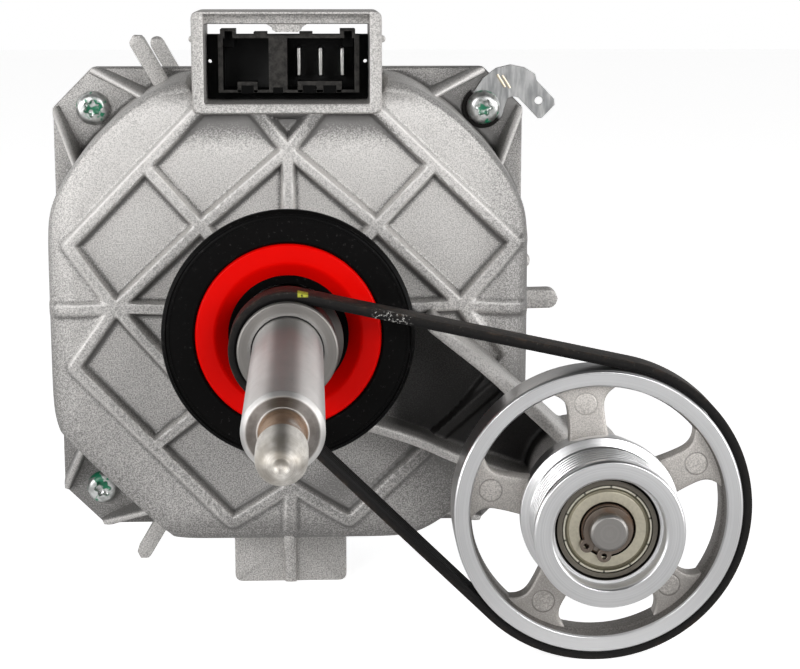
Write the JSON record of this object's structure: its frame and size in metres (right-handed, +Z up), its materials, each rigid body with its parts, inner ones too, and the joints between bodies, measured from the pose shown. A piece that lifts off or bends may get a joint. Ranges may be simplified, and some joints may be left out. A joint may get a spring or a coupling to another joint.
{
  "type": "dryer motor",
  "caption": "Belt-drive dryer motor with a stepped fan shaft, ribbed cast end shields, a shaft seal and a spoked idler pulley on a bracket arm.",
  "frame": {"origin": "on the shaft axis, at the front face of the shaft collar", "axes": "-Y along the shaft towards its free end, +Z up through the connector, +X towards the idler pulley"},
  "size_m": [0.1573, 0.2277, 0.1394],
  "materials": {
    "shield_casting": "blasted die casting",
    "rear_casting": "blasted die casting",
    "laminations": "stacked sheet edges",
    "winding": "enamelled wire",
    "insulator": "moulded",
    "screw_steel": "zinc plated",
    "tab_plate": "zinc plated sheet",
    "connector_plastic": "moulded",
    "tab_metal": "tinned",
    "lead_sheath": "sheathed conductor",
    "black_rubber": "smooth",
    "red_rubber": "smooth",
    "bearing_steel": "ground",
    "ball_steel": "polished",
    "spring_steel": "rolled",
    "shaft_steel": "ground",
    "collar_steel": "turned",
    "pinion_steel": "turned",
    "magnet": "sintered",
    "end_plate": "pressed",
    "belt_rubber": "ribbed, worn back",
    "pulley_aluminium": "turned rim, cast spokes",
    "bearing_shield": "yellow passivated",
    "axle_steel": "worn",
    "circlip_steel": "phosphated"
  },
  "bodies": {
    "housing": {"front_shield": "shield_casting", "rear_shield": "rear_casting", "stator_core": "laminations", "stator_coils": "winding", "slot_insulators": "insulator", "corner_screws": "screw_steel", "earth_tab": "tab_plate", "connector_body": "connector_plastic", "terminal_tabs": "tab_metal", "phase_leads": "lead_sheath", "seal_disc": "black_rubber", "seal_ring": "red_rubber", "front_outer_race": "bearing_steel", "rear_outer_race": "bearing_steel", "wave_spring": "spring_steel", "drive_belt": "belt_rubber", "pulley_inner_races": "bearing_steel", "race_spacer": "spring_steel", "pulley_axle": "axle_steel", "axle_washer": "spring_steel", "axle_circlip": "circlip_steel"},
    "rotor": {"rotor_shaft": "shaft_steel", "shaft_collar": "collar_steel", "belt_pinion": "pinion_steel", "rotor_core": "laminations", "rotor_magnets": "magnet", "rotor_end_plates": "end_plate", "front_inner_race": "bearing_steel", "rear_inner_race": "bearing_steel"},
    "pulley": {"pulley_wheel": "pulley_aluminium", "pulley_outer_races": "bearing_steel", "pulley_shields": "bearing_shield"},
    "front_cage": {"front_balls": "ball_steel"},
    "rear_cage": {"rear_balls": "ball_steel"},
    "pulley_cage": {"pulley_balls": "ball_steel"}
  },
  "joints": [
    {"name": "rotor_spin", "type": "hinge", "parent": "housing", "child": "rotor", "pos_m": [0, 0, 0], "axis": [0, -1, 0], "continuous": true},
    {"name": "pulley_spin", "type": "hinge", "parent": "housing", "child": "pulley", "pos_m": [0.0666, 0, -0.0359], "axis": [0, -1, 0], "continuous": true},
    {"name": "front_cage_spin", "type": "hinge", "parent": "housing", "child": "front_cage", "pos_m": [0, 0, 0], "axis": [0, -1, 0], "continuous": true},
    {"name": "rear_cage_spin", "type": "hinge", "parent": "housing", "child": "rear_cage", "pos_m": [0, 0, 0], "axis": [0, -1, 0], "continuous": true},
    {"name": "pulley_cage_spin", "type": "hinge", "parent": "housing", "child": "pulley_cage", "pos_m": [0.0666, 0, -0.0359], "axis": [0, -1, 0], "continuous": true}
  ],
  "couplings": [
    {"joint": "pulley_spin", "follows": "rotor_spin", "ratio": 0.3617},
    {"joint": "front_cage_spin", "follows": "rotor_spin", "ratio": 0.40846},
    {"joint": "rear_cage_spin", "follows": "rotor_spin", "ratio": 0.40846},
    {"joint": "pulley_cage_spin", "follows": "rotor_spin", "ratio": 0.22908}
  ]
}
